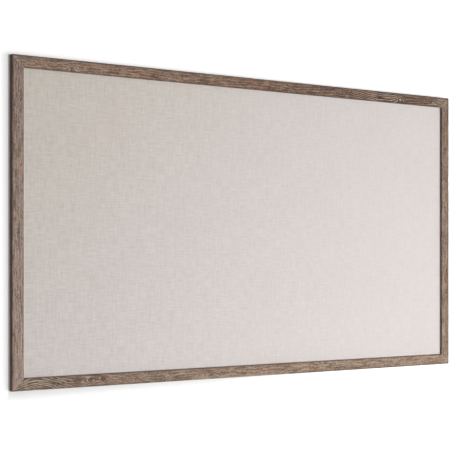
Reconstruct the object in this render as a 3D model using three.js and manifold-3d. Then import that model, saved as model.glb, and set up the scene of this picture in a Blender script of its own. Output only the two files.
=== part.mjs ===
// A wall-hung pinboard: a linen-covered cork panel held in a mitred oak frame, with its hanging hardware behind.
// Millimetres. +X runs to the right of someone facing the board, +Y runs into the wall, and +Z is up.
// The origin lies on the wall, midway between the two points where the wall's hooks carry the rings.

import * as THREE from "three";
import { mergeVertices } from "three/addons/utils/BufferGeometryUtils.js";
import Module from "manifold-3d";

const wasm = await Module();
wasm.setup();

// Overall size
const board_width = 1676;
const board_height = 914;

// Frame moulding, in section
const face_width = 34.5; // seen from the front
const lip_depth = 7.3; // front of the moulding to its rabbet
const rabbet_width = 7; // how far the lip reaches over the panel
const outer_edge_radius = 1.6;
const sight_edge_radius = 1.1;
const back_edge_radius = 1;
const wood_behind_points = 1; // left behind the slots of the framer's points
const mitre_gap = 0.2; // glue line between two members

// Panel, from front to back
const linen_thickness = 0.5;
const cork_thickness = 3;
const backer_thickness = 2;
const hem_width = 32; // linen turned over the back
const glue_gap = 0.1;
const panel_play = 0.8; // between the panel's edge and the rabbet's wall
const seat_gap = 0.3; // between the panel and what it bears on

// Framer's points
const point_length = 18;
const point_width = 6;
const point_thickness = 0.5;
const point_grip_share = 0.5; // of the length, driven into the wood
const points_per_rail = 5;
const points_per_stile = 3;

// V-nails across the mitres
const nail_leg = 6;
const nail_thickness = 0.5;
const nail_height = 9.5;
const nail_inset = 0.5; // driven below the back
const nail_place_shares = [0.33, 0.66]; // of the land behind, from the outer corner

// Clearance of anything driven or screwed into the wood
const driven_gap = 0.3;

// Strap hangers with their rings
const wire_diameter = 2;
const ring_inner_width = 16;
const ring_reach = 13; // middle of the bar to the middle of the bow
const ring_corner_radius = 2.5;
const bore_gap = 0.15; // between the bar and the rolled knuckle
const strap_thickness = 0.75;
const strap_width = 10;
const strap_length = 26; // hinge line to the strap's lower end
const strap_corner_radius = 4;
const strap_gap = 0.1; // between the strap and the wood
const ring_rest_gap = 0.3; // between the ring and the wood as it leans
const hook_drop = 150; // top edge of the board to the line of the hooks

// Hanger screws
const screw_head_diameter = 6;
const screw_head_height = 1.6;
const screw_rim_height = 0.5;
const screw_shank_diameter = 3;
const screw_length = 11;
const screw_tip_length = 3;
const screw_tip_diameter = 0.4;
const screw_seat_gap = 0.1;
const screw_drops = [8, 20]; // hinge line to each screw
const recess_length = 3.2;
const recess_width = 0.8;
const recess_depth = 0.8;

// Wall bumpers
const bumper_base_diameter = 12.5;
const bumper_face_diameter = 11;
const bumper_edge = 0.6;
const bumper_inset = 48; // top or bottom edge of the board to the bumper's middle
const bumper_gap = 0.1;
const wall_clearance = 0.1; // between the hanger's knuckle and the wall

// Roundness of the drawn curves
const edge_steps = 4;
const disc_steps = 32;
const wire_steps = 64;
const wire_sides = 12;
const overrun = 2; // how far a cut runs past the face it opens

// Sizes that follow from those above
const land_width = face_width - rabbet_width;
const panel_front = lip_depth + seat_gap;
const cork_front = panel_front + linen_thickness + glue_gap;
const backer_front = cork_front + cork_thickness + glue_gap;
const hem_front = backer_front + backer_thickness + glue_gap;
const panel_back = hem_front + linen_thickness;
const point_front = panel_back + seat_gap;
const point_middle = point_front + point_thickness / 2;
const frame_depth = point_front + point_thickness + driven_gap + wood_behind_points;
const knuckle_bore_radius = wire_diameter / 2 + bore_gap;
const knuckle_radius = knuckle_bore_radius + strap_thickness;
const wall_gap = strap_gap + 2 * knuckle_radius + wall_clearance;
const bumper_height = wall_gap - bumper_gap;
const hinge_off_wood = strap_gap + knuckle_radius;
const ring_lean = Math.asin((hinge_off_wood - wire_diameter / 2 - ring_rest_gap) / ring_reach);
const hook_above_hinge = ring_reach * Math.cos(ring_lean) - wire_diameter / 2;
const hanger_side = board_width / 2 - land_width / 2;
const panel_width = board_width - 2 * (land_width + panel_play);
const panel_height = board_height - 2 * (land_width + panel_play);

const finishes = {
  oak: { color: 0x85756b, roughness: 0.72, metalness: 0 },
  linen: { color: 0xd4ccc5, roughness: 0.95, metalness: 0 },
  cork: { color: 0xb98d5e, roughness: 0.9, metalness: 0 },
  hardboard: { color: 0x6f4f35, roughness: 0.75, metalness: 0 },
  zinc: { color: 0xb4b6b8, roughness: 0.35, metalness: 1 },
  rubber: { color: 0x2b2b2c, roughness: 0.85, metalness: 0 },
};

for (const name of Object.keys(finishes)) {
  finishes[name] = new THREE.MeshStandardMaterial(finishes[name]);
}

function part(name, geometry, finish) {
  const mesh = new THREE.Mesh(geometry, finishes[finish]);
  mesh.name = name;
  return mesh;
}

// A geometry as a solid that can be cut.
function solid(geometry) {
  const bare = geometry.clone();
  bare.deleteAttribute("normal");
  bare.deleteAttribute("uv");
  const merged = mergeVertices(bare);
  return new wasm.Manifold(
    new wasm.Mesh({
      numProp: 3,
      vertProperties: merged.attributes.position.array,
      triVerts: new Uint32Array(merged.index.array),
    }),
  );
}

// The body joined to every addition and less every cutter, as a geometry again.
function cut(body, cutters, additions = []) {
  let left = solid(body);
  for (const addition of additions) {
    left = left.add(solid(addition));
  }
  for (const cutter of cutters) {
    left = left.subtract(solid(cutter));
  }
  const mesh = left.getMesh();
  const geometry = new THREE.BufferGeometry();
  geometry.setAttribute("position", new THREE.BufferAttribute(mesh.vertProperties, mesh.numProp));
  geometry.setIndex(new THREE.BufferAttribute(mesh.triVerts, 1));
  geometry.computeVertexNormals();
  return geometry;
}

// A box from its lowest to its highest corner.
function box(low, high) {
  const size = high.map((value, k) => value - low[k]);
  const middle = high.map((value, k) => (value + low[k]) / 2);
  return new THREE.BoxGeometry(...size).translate(...middle);
}

// A flat outline drawn in X and Z, given depth from y = front to y = back.
function slab(outline, front, back) {
  const geometry = new THREE.ExtrudeGeometry(outline, { depth: back - front, bevelEnabled: false });
  return geometry.rotateX(Math.PI / 2).translate(0, back, 0);
}

// The moulding's section: u runs from the outer edge inwards, v from the front face backwards.
function mouldingSection() {
  const section = new THREE.Shape();
  section.moveTo(outer_edge_radius, 0);
  section.absarc(outer_edge_radius, outer_edge_radius, outer_edge_radius, -Math.PI / 2, -Math.PI, true);
  section.lineTo(0, frame_depth - back_edge_radius);
  section.absarc(
    back_edge_radius,
    frame_depth - back_edge_radius,
    back_edge_radius,
    Math.PI,
    Math.PI / 2,
    true,
  );
  section.lineTo(land_width, frame_depth);
  section.lineTo(land_width, lip_depth);
  section.lineTo(face_width, lip_depth);
  section.absarc(
    face_width - sight_edge_radius,
    sight_edge_radius,
    sight_edge_radius,
    0,
    -Math.PI / 2,
    true,
  );
  section.closePath();
  return section;
}

// One member, its outer edge `length` long and `reach` below the board's middle, with both ends cut at 45 degrees.
// The section is drawn out by a depth of 1, and each point of its two ends is then put in place: the further in from
// the outer edge, the shorter the member. The drawn-out depth runs towards -X, which keeps the faces outwards.
function mitredMember(length, reach) {
  const geometry = new THREE.ExtrudeGeometry(mouldingSection(), {
    depth: 1,
    steps: 1,
    bevelEnabled: false,
    curveSegments: edge_steps,
  });
  const place = geometry.attributes.position;
  const half_gap = mitre_gap / Math.SQRT2;
  for (let i = 0; i < place.count; i += 1) {
    const u = place.getX(i);
    const v = place.getY(i);
    const end = place.getZ(i) > 0 ? -1 : 1;
    place.setXYZ(i, end * (length / 2 - u - half_gap), v, u - reach);
  }
  return geometry;
}

// A V-nail seen from behind: two legs at a right angle, one in each member, grown on every side by `grow`.
function nailOutline(grow) {
  const half = nail_thickness / 2 + grow;
  const end = nail_leg + grow;
  const outline = new THREE.Shape();
  outline.moveTo(-half, -half);
  outline.lineTo(end, -half);
  outline.lineTo(end, half);
  outline.lineTo(half, half);
  outline.lineTo(half, end);
  outline.lineTo(-half, end);
  outline.closePath();
  return outline;
}

const nail_back = frame_depth - nail_inset;
const nail_front = nail_back - nail_height;

// The slots that both ends of a member give to the V-nails, open at the back.
function nailSlots(length, reach) {
  const slots = [];
  for (const share of nail_place_shares) {
    const inset = share * land_width;
    for (const quarter_turn of [0, -1]) {
      const slot = slab(nailOutline(driven_gap), nail_front - driven_gap, frame_depth + overrun);
      slot.rotateY((quarter_turn * Math.PI) / 2);
      const end = quarter_turn === 0 ? -1 : 1;
      slots.push(slot.translate(end * (length / 2 - inset), 0, inset - reach));
    }
  }
  return slots;
}

// The middles of `count` equal bays along a side.
function bayMiddles(length, count) {
  const bay = length / count;
  return Array.from({ length: count }, (_, i) => (i + 0.5) * bay - length / 2);
}

// A framer's point on the side that lies `reach` below the middle, or the slot that it is driven into.
function pointBox(along, reach, grow, inner_overrun) {
  const wall = land_width - reach;
  const half = point_thickness / 2 + grow;
  return box(
    [along - point_width / 2 - grow, point_middle - half, wall - point_grip_share * point_length - grow],
    [along + point_width / 2 + grow, point_middle + half, wall + inner_overrun],
  );
}

// A round hole along Y, opening at `back`.
function roundHole(x, z, diameter, front, back) {
  const hole = new THREE.CylinderGeometry(diameter / 2, diameter / 2, back - front, disc_steps);
  return hole.translate(x, (front + back) / 2, z);
}

const hinge_above_middle = board_height / 2 - hook_drop - hook_above_hinge;
const strap_back = strap_gap + strap_thickness;
const head_front = strap_back + screw_seat_gap;
const screw_tip_depth = screw_length - head_front; // of the tip, in the wood

// The four sides of the frame, each turned a whole number of quarters about the board's middle.
const sides = [
  { name: "rail_bottom", turn: 0, length: board_width, reach: board_height / 2, points: points_per_rail },
  { name: "stile_right", turn: -1, length: board_height, reach: board_width / 2, points: points_per_stile },
  { name: "rail_top", turn: -2, length: board_width, reach: board_height / 2, points: points_per_rail },
  { name: "stile_left", turn: 1, length: board_height, reach: board_width / 2, points: points_per_stile },
];

// Pilot holes for the hanger screws, where a side is a stile.
function pilotHoles(side) {
  if (Math.abs(side.turn) !== 1) {
    return [];
  }
  const front = frame_depth - screw_tip_depth - driven_gap;
  const diameter = screw_shank_diameter + 2 * driven_gap;
  return screw_drops.map((drop) => {
    const along = -side.turn * (hinge_above_middle - drop);
    return roundHole(along, -hanger_side, diameter, front, frame_depth + overrun);
  });
}

function frameSide(side) {
  const group = new THREE.Group();
  group.rotation.y = (side.turn * Math.PI) / 2;
  const middles = bayMiddles(side.length - 2 * face_width, side.points);
  const slots = middles.map((along) => pointBox(along, side.reach, driven_gap, overrun + rabbet_width));
  const member = cut(mitredMember(side.length, side.reach), [
    ...nailSlots(side.length, side.reach),
    ...slots,
    ...pilotHoles(side),
  ]);
  group.add(part(`frame_${side.name}`, member, "oak"));
  middles.forEach((along, i) => {
    const shown = (1 - point_grip_share) * point_length;
    const point = pointBox(along, side.reach, 0, shown);
    group.add(part(`framers_point_${side.name}_${i + 1}`, point, "zinc"));
  });
  return group;
}

// The V-nails of one corner. `right` and `up` are 1 or -1 and point from the middle to the corner.
function cornerNails(name, right, up) {
  const turns = { "-1,-1": 0, "1,-1": -1, "1,1": -2, "-1,1": 1 };
  const group = new THREE.Group();
  nail_place_shares.forEach((share, i) => {
    const nail = part(`v_nail_${name}_${i + 1}`, slab(nailOutline(0), nail_front, nail_back), "zinc");
    const inset = share * land_width;
    nail.position.set(right * (board_width / 2 - inset), 0, up * (board_height / 2 - inset));
    nail.rotation.y = (turns[`${right},${up}`] * Math.PI) / 2;
    group.add(nail);
  });
  return group;
}

// The linen: a sheet over the panel's face, turned round its edges and hemmed behind.
function linenCover() {
  const half_width = panel_width / 2;
  const half_height = panel_height / 2;
  const outside = box([-half_width, panel_front, -half_height], [half_width, panel_back, half_height]);
  const skin = linen_thickness;
  const pocket = box(
    [skin - half_width, panel_front + skin, skin - half_height],
    [half_width - skin, hem_front, half_height - skin],
  );
  const window = box(
    [hem_width - half_width, hem_front - overrun, hem_width - half_height],
    [half_width - hem_width, panel_back + overrun, half_height - hem_width],
  );
  return cut(outside, [pocket, window]);
}

// A sheet that fills the linen's inside from edge to edge.
function innerSheet(front, thickness) {
  const half_width = panel_width / 2 - linen_thickness - glue_gap;
  const half_height = panel_height / 2 - linen_thickness - glue_gap;
  return box([-half_width, front, -half_height], [half_width, front + thickness, half_height]);
}

function pinPanel() {
  const group = new THREE.Group();
  group.add(part("linen_cover", linenCover(), "linen"));
  group.add(part("cork_sheet", innerSheet(cork_front, cork_thickness), "cork"));
  group.add(part("backer_board", innerSheet(backer_front, backer_thickness), "hardboard"));
  return group;
}

// The line of the ring's wire, in X and Z, with its bar on the hinge line.
class RingLine extends THREE.Curve {
  constructor() {
    super();
    const side = (ring_inner_width + wire_diameter) / 2;
    const corner = ring_corner_radius;
    this.outline = new THREE.Path();
    this.outline.moveTo(0, 0);
    this.outline.lineTo(side - corner, 0);
    this.outline.absarc(side - corner, corner, corner, -Math.PI / 2, 0, false);
    this.outline.lineTo(side, ring_reach - side);
    this.outline.absarc(0, ring_reach - side, side, 0, Math.PI, false);
    this.outline.lineTo(-side, corner);
    this.outline.absarc(corner - side, corner, corner, Math.PI, (3 * Math.PI) / 2, false);
    this.outline.lineTo(0, 0);
  }

  getPoint(t, target = new THREE.Vector3()) {
    const p = this.outline.getPointAt(t);
    return target.set(p.x, 0, p.y);
  }
}

// A strap round the hinge line: a rolled knuckle, and a flat tail below with a rounded end. y = 0 is the hinge line.
function strapGeometry() {
  const knuckle = new THREE.Shape();
  knuckle.absarc(0, 0, knuckle_radius, 0, 2 * Math.PI, false);
  const bore = new THREE.Path();
  bore.absarc(0, 0, knuckle_bore_radius, 0, 2 * Math.PI, false);
  knuckle.holes.push(bore);
  const rolled = new THREE.ExtrudeGeometry(knuckle, {
    depth: strap_width,
    bevelEnabled: false,
    curveSegments: disc_steps,
  });
  rolled.rotateY(Math.PI / 2).translate(-strap_width / 2, 0, 0);

  const half = strap_width / 2;
  const corner = strap_corner_radius;
  const outline = new THREE.Shape();
  outline.moveTo(-half, 0);
  outline.lineTo(-half, corner - strap_length);
  outline.absarc(corner - half, corner - strap_length, corner, Math.PI, 1.5 * Math.PI, false);
  outline.absarc(half - corner, corner - strap_length, corner, 1.5 * Math.PI, 2 * Math.PI, false);
  outline.lineTo(half, 0);
  outline.closePath();
  const low = -knuckle_radius;
  const tail = slab(outline, low, low + strap_thickness);
  const holes = screw_drops.map((drop) =>
    roundHole(0, -drop, screw_shank_diameter + 2 * driven_gap, low - overrun, low + overrun),
  );
  return cut(rolled, holes, [tail]);
}

// A pan-head screw along Y, its head's underside at y = 0 and its tip towards the wood.
function screwGeometry() {
  const head = screw_head_diameter / 2;
  const shank = screw_shank_diameter / 2;
  const crown = screw_head_height - screw_rim_height;
  const profile = [
    new THREE.Vector2(0, -screw_length),
    new THREE.Vector2(screw_tip_diameter / 2, -screw_length),
    new THREE.Vector2(shank, screw_tip_length - screw_length),
    new THREE.Vector2(shank, 0),
    new THREE.Vector2(head, 0),
  ];
  for (let i = 0; i <= edge_steps; i += 1) {
    const angle = (i / edge_steps) * (Math.PI / 2);
    profile.push(new THREE.Vector2(head * Math.cos(angle), screw_rim_height + crown * Math.sin(angle)));
  }
  const body = new THREE.LatheGeometry(profile, disc_steps);
  const floor = screw_head_height - recess_depth;
  const reach = recess_length / 2;
  const half = recess_width / 2;
  return cut(body, [
    box([-reach, floor, -half], [reach, screw_head_height + overrun, half]),
    box([-half, floor, -reach], [half, screw_head_height + overrun, reach]),
  ]);
}

function strapHanger(name) {
  const group = new THREE.Group();
  group.add(part(`hanger_strap_${name}`, strapGeometry(), "zinc"));
  const wire = new THREE.TubeGeometry(new RingLine(), wire_steps, wire_diameter / 2, wire_sides, true);
  const ring = part(`hanger_ring_${name}`, wire, "zinc");
  ring.rotation.x = ring_lean;
  group.add(ring);
  screw_drops.forEach((drop, i) => {
    const screw = part(`hanger_screw_${name}_${i + 1}`, screwGeometry(), "zinc");
    screw.position.set(0, head_front - hinge_off_wood, -drop);
    group.add(screw);
  });
  return group;
}

// A round bumper that stands on the back of a stile and bears on the wall.
function bumperGeometry() {
  const base = bumper_base_diameter / 2;
  const face = bumper_face_diameter / 2;
  return new THREE.LatheGeometry(
    [
      new THREE.Vector2(0, 0),
      new THREE.Vector2(base, 0),
      new THREE.Vector2(face, bumper_height - bumper_edge),
      new THREE.Vector2(face - bumper_edge, bumper_height),
      new THREE.Vector2(0, bumper_height),
    ],
    disc_steps,
  );
}

const board = new THREE.Group();
board.position.set(0, -wall_gap - frame_depth, hook_drop - board_height / 2);
for (const side of sides) {
  board.add(frameSide(side));
}
board.add(pinPanel());

for (const [side_name, right] of [["left", -1], ["right", 1]]) {
  for (const [end_name, up] of [["bottom", -1], ["top", 1]]) {
    board.add(cornerNails(`${end_name}_${side_name}`, right, up));
    const bumper = part(`wall_bumper_${end_name}_${side_name}`, bumperGeometry(), "rubber");
    const up_place = up * (board_height / 2 - bumper_inset);
    bumper.position.set(right * hanger_side, frame_depth + bumper_gap, up_place);
    board.add(bumper);
  }
  const hanger = strapHanger(side_name);
  hanger.position.set(right * hanger_side, frame_depth + hinge_off_wood, hinge_above_middle);
  board.add(hanger);
}

const pinboard = new THREE.Group();
pinboard.add(board);

export default pinboard;
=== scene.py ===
# %% [markdown]
# # A linen pinboard in a weathered oak frame
#
# The construction is already modelled: four mitred mouldings, a cork panel under linen, and the hanging
# hardware behind, all at their real size. This file gives the board its looks. Pieces whose surface needs
# more than flat facets are made anew here, in the same places, and everything is given a procedural material.
#
# Lengths are in metres. +X is to the right of someone who faces the board, +Y goes into the wall and +Z is
# up. The origin is on the wall, midway between the two hooks that carry the board.

# %% Load the packed model
import math

import bmesh
import bpy
import numpy as np
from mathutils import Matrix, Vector


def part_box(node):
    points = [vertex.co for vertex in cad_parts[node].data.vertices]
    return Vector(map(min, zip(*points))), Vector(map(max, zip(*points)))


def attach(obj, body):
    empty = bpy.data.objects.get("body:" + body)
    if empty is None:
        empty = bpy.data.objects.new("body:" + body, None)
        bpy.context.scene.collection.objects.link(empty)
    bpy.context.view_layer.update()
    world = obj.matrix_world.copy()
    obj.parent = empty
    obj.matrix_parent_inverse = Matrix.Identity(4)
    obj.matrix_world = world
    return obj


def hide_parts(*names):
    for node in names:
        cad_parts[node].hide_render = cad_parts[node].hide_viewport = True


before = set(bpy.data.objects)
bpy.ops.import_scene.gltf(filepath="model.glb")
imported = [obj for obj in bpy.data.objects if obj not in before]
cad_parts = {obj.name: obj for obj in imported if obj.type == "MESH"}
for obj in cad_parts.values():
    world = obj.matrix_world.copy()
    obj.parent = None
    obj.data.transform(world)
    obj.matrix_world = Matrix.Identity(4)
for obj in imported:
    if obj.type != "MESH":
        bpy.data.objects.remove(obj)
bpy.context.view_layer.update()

MM = 0.001
TAU = 2 * math.pi
print("pieces in the model:", len(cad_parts))

# %% [markdown]
# ## The board's outline
#
# Everything new is placed from these edges. They are measured on the model, so they can't drift away from it.

# %% Measure the board
left, front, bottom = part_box("frame_stile_left")[0]
right, wood_back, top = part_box("frame_stile_right")[1]
WIDTH, HEIGHT, DEPTH = right - left, top - bottom, wood_back - front
middle_x, middle_z = (left + right) / 2, (bottom + top) / 2
print(f"board {WIDTH:.3f} x {HEIGHT:.3f} m, frame {DEPTH:.4f} m deep, front at y = {front:.4f}")

# %% [markdown]
# ## The camera
#
# The photograph was taken from the left of the board, level with its lower half, with the lens raised instead
# of the camera tilted, so the uprights stay vertical in it. The place, heading and lens were solved from the
# edges of the frame in it. It is a square of 450 pixels, so a focal length and a horizon in pixels say it
# most plainly.

# %% Set up the camera
PHOTO_SIDE_PX = 450
FOCAL_PX = 1351.7
HORIZON_PX = 261.03
SENSOR_MM = 36
HEADING = math.radians(36.64)
LEFT_OF_BOARD = 1.7192
BEFORE_BOARD = 3.2736
ABOVE_BOTTOM = 0.3533

scene = bpy.context.scene
camera = bpy.data.objects.new("camera", bpy.data.cameras.new("camera"))
camera.data.sensor_width = SENSOR_MM
camera.data.lens = SENSOR_MM * FOCAL_PX / PHOTO_SIDE_PX
camera.data.shift_y = (HORIZON_PX - PHOTO_SIDE_PX / 2) / PHOTO_SIDE_PX
camera.location = (left - LEFT_OF_BOARD, front - BEFORE_BOARD, bottom + ABOVE_BOTTOM)
camera.rotation_euler = (math.pi / 2, 0, -HEADING)
scene.collection.objects.link(camera)
scene.camera = camera
scene.view_settings.view_transform = "Standard"
print("lens", round(camera.data.lens, 1), "mm, shifted up by", round(camera.data.shift_y, 4), "of the frame")


# %% [markdown]
# ## Writing a material as sums
#
# A procedural material is a graph of small nodes. Wired by hand, the idea drowns in boxes, so small classes
# let it be written as expressions. `Wire` is one output of a node. Arithmetic on it adds Math nodes, so
# `1 - knots` is a node too, and `between` turns a number that varies over a surface into a mask.

# %% Wires
class Wire:
    """One output of a shader node. An operator on it adds a Math node and gives that node's output."""

    def __init__(self, graph, socket):
        self.graph, self.socket = graph, socket

    def math(self, operation, *others):
        values = dict(enumerate([self, *others]))
        return self.graph.add("ShaderNodeMath", {"operation": operation}, values)

    def __add__(self, other):
        return self.math("ADD", other)

    def __mul__(self, other):
        return self.math("MULTIPLY", other)

    def __sub__(self, other):
        return self.math("SUBTRACT", other)

    def __rsub__(self, other):
        return self * -1 + other

    __radd__ = __add__
    __rmul__ = __mul__

    def sine(self):
        return self.math("SINE")

    def size(self):
        """The number without its sign."""
        return self.math("ABSOLUTE")

    def at_least(self, other):
        """The greater of the two numbers."""
        return self.math("MAXIMUM", other)

    def between(self, low, high):
        """0 up to low, 1 from high and a smooth rise between. With low above high it is a fall instead."""
        ends = {"From Min": min(low, high), "From Max": max(low, high)}
        heights = {"To Min": float(low > high), "To Max": float(low < high)}
        values = {"Value": self, **ends, **heights}
        return self.graph.add("ShaderNodeMapRange", {"interpolation_type": "SMOOTHSTEP"}, values)


print("wires have, by name:", [name for name in vars(Wire) if not name.startswith("__")])


# %% [markdown]
# `Graph` is what a material and the world have in common: a tree of nodes that ends in one surface. Its `add`
# makes any node. `Paint` is one material, with the few ingredients that the board's finishes share. Colours
# don't go through Math nodes, which would turn them grey, but through `blend`.

# %% Graphs and paints
class Graph:
    """The nodes of a material, or of the world, with `surface` as the node that everything leads to."""

    def __init__(self, owner, surface):
        owner.use_nodes = True
        self.tree = owner.node_tree
        self.surface = self.tree.nodes[surface]

    def plug(self, socket, value):
        if isinstance(value, Wire):
            self.tree.links.new(value.socket, socket)
        else:
            socket.default_value = value

    def set(self, socket, value):
        self.plug(self.surface.inputs[socket], value)

    def add(self, kind, settings=None, values=None, output=0):
        """Makes a node: first its settings, a ramp's stops among them, then its inputs by name or number."""
        node = self.tree.nodes.new(kind)
        for name, value in (settings or {}).items():
            if name == "stops":
                self.fill_ramp(node.color_ramp, value)
            else:
                setattr(node, name, value)
        for key, value in (values or {}).items():
            self.plug(node.inputs[key], value)
        return Wire(self, node.outputs[output])

    def fill_ramp(self, ramp, stops):
        while len(ramp.elements) < len(stops):
            ramp.elements.new(1)
        for element, (place, colour) in zip(ramp.elements, stops):
            element.position = place
            element.color = (*colour, 1)

    def looked_at(self):
        """1 where the eye falls, straight or in a shiny surface, and 0 where only light does."""
        by_eye = self.add("ShaderNodeLightPath", output="Is Camera Ray")
        return by_eye.at_least(self.add("ShaderNodeLightPath", output="Is Glossy Ray"))


class Paint(Graph):
    """A material with one Principled surface. A finish that is the same all over goes on its sockets."""

    def __init__(self, name, **finish):
        self.material = bpy.data.materials.new(name)
        super().__init__(self.material, "Principled BSDF")
        for socket, value in finish.items():
            self.set(socket.replace("_", " "), value)

    def noise(self, where, scale, seed, detail=2.0, roughness=0.5):
        """Soft noise from 0 to 1. The scale is how many hills it has in a metre along each axis."""
        place = self.add("ShaderNodeVectorMath", {"operation": "MULTIPLY"}, {0: where, 1: scale})
        values = {"Vector": place, "W": seed, "Scale": 1, "Detail": detail, "Roughness": roughness}
        return self.add("ShaderNodeTexNoise", {"noise_dimensions": "4D"}, values)

    def blend(self, share, a, b, mode="MIX"):
        """Colour a where the share is 0 and colour b where it is 1. The colours are inputs 6 and 7."""
        a, b = [colour if isinstance(colour, Wire) else (*colour, 1) for colour in (a, b)]
        settings = {"data_type": "RGBA", "blend_type": mode}
        return self.add("ShaderNodeMix", settings, {0: share, 6: a, 7: b}, output=2)

    def tinted(self, colour, tint, share=1.0):
        """The colour times the tint, as far as the share goes."""
        return self.blend(share, colour, tint, "MULTIPLY")

    def ramp(self, value, stops):
        return self.add("ShaderNodeValToRGB", {"stops": stops}, {0: value})

    def emboss(self, height, depth, strength=1.0):
        """Tilts the surface as if it rose by `depth` where the height is 1."""
        values = {"Height": height, "Distance": depth, "Strength": strength}
        self.set("Normal", self.add("ShaderNodeBump", None, values))

    def attribute(self, name, output="Fac"):
        return self.add("ShaderNodeAttribute", {"attribute_name": name}, None, output)

    def here(self):
        """The place on the piece as the model has it, in metres."""
        return self.add("ShaderNodeTexCoord", output="Object")

    def split(self, vector):
        return [self.add("ShaderNodeSeparateXYZ", None, {0: vector}, output=axis) for axis in "XYZ"]


print("paints have, by name:", [name for name in vars(Paint) if not name.startswith("__")])


# %% [markdown]
# ## From arrays to meshes
#
# Every new piece is a grid of points: rows of loops. `quads` joins neighbouring points by faces, `body` makes
# them a mesh, merges points that coincide and turns all faces outwards, and `loops` closes the two ends.
# `install` then makes it a piece of the board: it rides on a body, stands for the modelled nodes that it
# hides, and takes a material.

# %% Grids and pieces
HAIR = 0.002 * MM


def quads(rows, columns, close_rows=False, close_columns=True):
    """Joins each point of a grid to the next in its row and the two above, round the ends where closed."""
    i = np.arange(rows - (not close_rows))[:, None]
    j = np.arange(columns - (not close_columns))[None, :]
    above, beside = (i + 1) % rows, (j + 1) % columns
    corners = [i * columns + j, i * columns + beside, above * columns + beside, above * columns + j]
    return np.stack(np.broadcast_arrays(*corners), -1).reshape(-1, 4)


def border(index):
    """The points round a grid's outside, in order."""
    return np.concatenate([index[0], index[1:, -1], index[-1, -2::-1], index[-2:0:-1, 0]])


def join_close(mesh, operation, parts):
    """Joins what lies closer than a hair by a mesh operation, and then turns all faces outwards."""
    work = bmesh.new()
    work.from_mesh(mesh)
    operation(work, **{parts: getattr(work, parts)}, dist=HAIR)
    bmesh.ops.recalc_face_normals(work, faces=work.faces)
    work.to_mesh(mesh)
    work.free()


def body(name, points, faces, smooth_below=35, **attributes):
    """A mesh of points and faces, smooth where its faces meet at less than an angle in degrees."""
    mesh = bpy.data.meshes.new(name)
    mesh.from_pydata(points.reshape(-1, 3).tolist(), [], faces)
    for label, values in attributes.items():
        is_vector = values.size == points.size
        layer = mesh.attributes.new(label, "FLOAT_VECTOR" if is_vector else "FLOAT", "POINT")
        layer.data.foreach_set("vector" if is_vector else "value", values.astype(np.float32).ravel())
    join_close(mesh, bmesh.ops.remove_doubles, "verts")
    mesh.shade_smooth()
    mesh.set_sharp_from_angle(angle=math.radians(smooth_below))
    piece = bpy.data.objects.new(name, mesh)
    scene.collection.objects.link(piece)
    return piece


def loops(name, sections, ring=False, **options):
    """A closed body through rows of loops. Unless the rows make a ring, both ends get a flat face."""
    rows, columns = sections.shape[:2]
    faces = quads(rows, columns, close_rows=ring).tolist()
    if not ring:
        faces += [list(range(columns)), list(range((rows - 1) * columns, rows * columns))]
    return body(name, sections, faces, **options)


def install(piece, slot, paint, *nodes, rides="board"):
    """Puts a new piece in place of the modelled nodes that it stands for."""
    piece.data.materials.append(paint.material)
    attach(piece, rides)
    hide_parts(*nodes)


print("points closer than", HAIR / MM, "mm become one")


# %% [markdown]
# ## The oak field
#
# A frame like this is cut from rustic oak, brushed with wire and rubbed with a pale filler. Brushing wears
# the soft early wood of each growth ring into a shallow hollow, and the filler stays there. So the relief and
# the colour are two views of one thing, the growth rings, and are best drawn from one field. It needs slow
# hills that never repeat and are the same in every run: a few sine waves with random directions do that.

# %% Hills made of waves
def hills(where, seed, sizes, waves=9):
    """Random hills between about -1.5 and 1.5: a sum of sine waves with random directions and starts.

    Each wave's steepness along an axis is a normal random number over that axis's size. The sum is divided by
    the root of half the number of waves, so that the hills are as high however many there are, and by 1.4.
    """
    rng = np.random.default_rng(seed)
    directions = rng.normal(size=(waves, 3)) / np.asarray(sizes)
    starts = rng.uniform(0, TAU, waves)
    return np.sin(where @ directions.T + starts).sum(-1) * math.sqrt(2 / waves) / 1.4


sample = hills(np.linspace(0, 1, 1000)[:, None] * [1, 2, 3], 0, (0.1, 0.1, 0.1))
print(f"a row of hills reaches from {sample.min():.2f} to {sample.max():.2f}")

# %% [markdown]
# The field is a phase that gains 1 from ring to ring. It climbs steadily across the board and is bent by
# slow hills, which turn straight lines into the long pointed figures of sawn oak. A knot is one more hill,
# steep enough to close the rings round it. The field is solid: it also depends on the depth, so the lines run
# on over the edges. Two fields more go with it: how dark or pale the wood is, and how clear its rings are.

# %% The phase of the growth rings
RING = 8.5 * MM
RING_SLANT = 0.7
SLOW_HILLS = (85 * MM, 15 * MM, 22 * MM)
SMALL_HILLS = (20 * MM, 7 * MM, 8 * MM)
SMALL_SHARE = 0.3
FIGURE_LENGTH = 80 * MM
KNOT_STRETCH = 1.3
DARK_SPREAD = 0.5
CLEAR_SPREAD = 3
CLEAR_ARCH = 3
CLEAR_RISE = 2.5


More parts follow.
